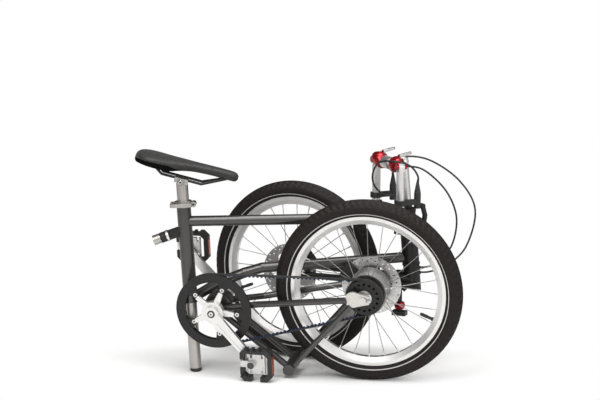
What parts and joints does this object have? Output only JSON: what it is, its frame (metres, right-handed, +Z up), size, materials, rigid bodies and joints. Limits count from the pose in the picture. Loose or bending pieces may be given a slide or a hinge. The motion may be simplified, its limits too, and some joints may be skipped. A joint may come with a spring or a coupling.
{
  "type": "folding bicycle",
  "caption": "Belt-drive folding bicycle in its folded state: rear wheel swung under the frame, front wheel folded beside it, bars hanging, post as a stand.",
  "frame": {"origin": "on the floor, under the middle of the folded bicycle's box", "axes": "+X the way the bicycle rides, +Y its left side, +Z up"},
  "size_m": [0.9117, 0.4561, 0.6272],
  "materials": {
    "graphite_paint": "satin",
    "black_anodised": "satin",
    "polished_alloy": "polished",
    "black_rubber": "matte",
    "tyre_rubber": "matte",
    "red_anodised": "satin",
    "black_plastic": "matte",
    "saddle_cover": "matte",
    "disc_steel": "brushed"
  },
  "bodies": {
    "frame": {"seat_tube": "graphite_paint", "top_tube": "graphite_paint", "lower_tube": "graphite_paint", "head_tube": "black_anodised", "latch_stub": "black_anodised", "latch_buffer": "black_rubber", "latch_cap": "polished_alloy", "seat_clamp": "polished_alloy"},
    "clamp_lever": {"seat_clamp_lever": "polished_alloy"},
    "post": {"seat_post": "polished_alloy", "post_foot": "black_rubber", "saddle_head": "polished_alloy", "saddle_rails": "black_anodised", "saddle": "saddle_cover"},
    "swing_arm": {"pivot_drum": "graphite_paint", "chain_stays": "graphite_paint", "front_stays": "graphite_paint", "seat_stays": "graphite_paint", "apex_block": "graphite_paint", "dropouts": "polished_alloy", "rear_axle": "polished_alloy", "belt": "black_rubber", "rear_caliper": "black_anodised"},
    "crank": {"crank_right": "polished_alloy", "crank_left": "polished_alloy", "chainring": "black_anodised", "ring_bolts": "polished_alloy"},
    "sprocket": {"rear_sprocket": "black_anodised"},
    "pedal_right": {"pedal_hub_right": "polished_alloy"},
    "pedal_cage_right": {"pedal_cage_right": "black_plastic"},
    "pedal_left": {"pedal_hub_left": "polished_alloy"},
    "pedal_cage_left": {"pedal_cage_left": "black_plastic"},
    "rear_wheel": {"rear_hub": "polished_alloy", "rear_spokes": "polished_alloy", "rear_rim": "polished_alloy", "rear_tyre": "tyre_rubber", "rear_rotor": "disc_steel"},
    "steerer": {"steerer": "black_anodised"},
    "fork": {"fork_crown": "black_anodised", "fork_knob": "red_anodised", "fork_leg_near": "black_anodised", "fork_leg_far": "black_anodised", "front_axle": "polished_alloy", "front_caliper": "black_anodised"},
    "front_wheel": {"front_hub": "polished_alloy", "front_spokes": "polished_alloy", "front_rim": "polished_alloy", "front_tyre": "tyre_rubber", "front_rotor": "disc_steel"},
    "stem": {"stem": "polished_alloy", "bar_clamps": "red_anodised", "front_hose": "black_plastic", "rear_hose": "black_plastic", "gear_cable": "black_plastic"},
    "bar_right": {"bar_half_right": "polished_alloy", "grip_right": "black_rubber"},
    "brake_right": {"brake_lever_right": "black_anodised"},
    "bar_left": {"bar_half_left": "polished_alloy", "grip_left": "black_rubber"},
    "brake_left": {"brake_lever_left": "black_anodised"}
  },
  "joints": [
    {"name": "rear_fold", "type": "hinge", "parent": "frame", "child": "swing_arm", "pos_m": [-0.234, -0.037, 0.18672], "axis": [0.1212, 0.9907, 0.0615], "range_deg": [0, 183], "deforming": ["front_hose", "rear_hose", "gear_cable"]},
    {"name": "seat_post_slide", "type": "slide", "parent": "frame", "child": "post", "axis": [-0.061, 0, 0.9981], "range_m": [0, 0.285]},
    {"name": "seat_clamp_lever", "type": "hinge", "parent": "frame", "child": "clamp_lever", "pos_m": [-0.35615, -0.058, 0.45943], "axis": [0.061, 0, -0.9981], "range_deg": [0, 100]},
    {"name": "rear_wheel_spin", "type": "hinge", "parent": "swing_arm", "child": "rear_wheel", "pos_m": [0.16232, -0.14361, 0.24831], "axis": [0.2401, 0.9631, 0.1219], "continuous": true},
    {"name": "crank_spin", "type": "hinge", "parent": "swing_arm", "child": "crank", "pos_m": [-0.234, -0.037, 0.18672], "axis": [0.2401, 0.9631, 0.1219], "continuous": true},
    {"name": "sprocket_spin", "type": "hinge", "parent": "swing_arm", "child": "sprocket", "pos_m": [0.16232, -0.14361, 0.24831], "axis": [0.2401, 0.9631, 0.1219], "continuous": true},
    {"name": "pedal_right_spin", "type": "hinge", "parent": "crank", "child": "pedal_right", "pos_m": [-0.12306, -0.04842, 0.05841], "axis": [0.2401, 0.9631, 0.1219], "continuous": true},
    {"name": "pedal_right_fold", "type": "hinge", "parent": "pedal_right", "child": "pedal_cage_right", "pos_m": [-0.16942, -0.12688, 0.04769], "axis": [0.0295, 0.1182, -0.9925], "range_deg": [0, 90]},
    {"name": "pedal_left_spin", "type": "hinge", "parent": "crank", "child": "pedal_left", "pos_m": [-0.34494, -0.02558, 0.31502], "axis": [0.2401, 0.9631, 0.1219], "continuous": true},
    {"name": "pedal_left_fold", "type": "hinge", "parent": "pedal_left", "child": "pedal_cage_left", "pos_m": [-0.34904, 0.06546, 0.32575], "axis": [-0.0295, -0.1182, 0.9925], "range_deg": [0, 90]},
    {"name": "steering", "type": "hinge", "parent": "frame", "child": "steerer", "pos_m": [0.286, -0.037, 0.25], "axis": [-0.0872, 0, 0.9962], "range_deg": [-46, 0], "deforming": ["front_hose", "rear_hose", "gear_cable"]},
    {"name": "fork_fold", "type": "hinge", "parent": "steerer", "child": "fork", "pos_m": [0.286, -0.037, 0.25], "axis": [-0.7081, 0, -0.7061], "range_deg": [0, 146.5]},
    {"name": "front_wheel_spin", "type": "hinge", "parent": "fork", "child": "front_wheel", "pos_m": [-0.02668, 0.1088, 0.25], "axis": [-0.4226, -0.9063, 0], "continuous": true},
    {"name": "stem_height", "type": "slide", "parent": "steerer", "child": "stem", "axis": [-0.0872, 0, 0.9962], "range_m": [0, 0.06], "deforming": ["front_hose", "rear_hose", "gear_cable"]},
    {"name": "bar_right_fold", "type": "hinge", "parent": "stem", "child": "bar_right", "pos_m": [0.24519, -0.12047, 0.57502], "axis": [-0.9205, -0.3907, 0], "range_deg": [0, 90], "deforming": ["front_hose", "rear_hose", "gear_cable"]},
    {"name": "bar_left_fold", "type": "hinge", "parent": "stem", "child": "bar_left", "pos_m": [0.18893, 0.01208, 0.57502], "axis": [0.9205, 0.3907, 0], "range_deg": [0, 90], "deforming": ["front_hose", "rear_hose", "gear_cable"]},
    {"name": "brake_right_squeeze", "type": "hinge", "parent": "bar_right", "child": "brake_right", "pos_m": [0.30549, -0.09488, 0.46702], "axis": [-0.3907, 0.9205, 0], "range_deg": [0, 14], "stiffness_Nm_per_rad": 2},
    {"name": "brake_left_squeeze", "type": "hinge", "parent": "bar_left", "child": "brake_left", "pos_m": [0.24922, 0.03768, 0.46702], "axis": [-0.3907, 0.9205, 0], "range_deg": [0, 14], "stiffness_Nm_per_rad": 2}
  ],
  "couplings": [
    {"joint": "seat_post_slide", "follows": "rear_fold", "m_per_rad": 0.087666},
    {"joint": "fork_fold", "follows": "rear_fold", "ratio": 0.8},
    {"joint": "bar_right_fold", "follows": "rear_fold", "ratio": 0.4913},
    {"joint": "bar_left_fold", "follows": "rear_fold", "ratio": 0.4913},
    {"joint": "sprocket_spin", "follows": "crank_spin", "ratio": 2.1489}
  ]
}
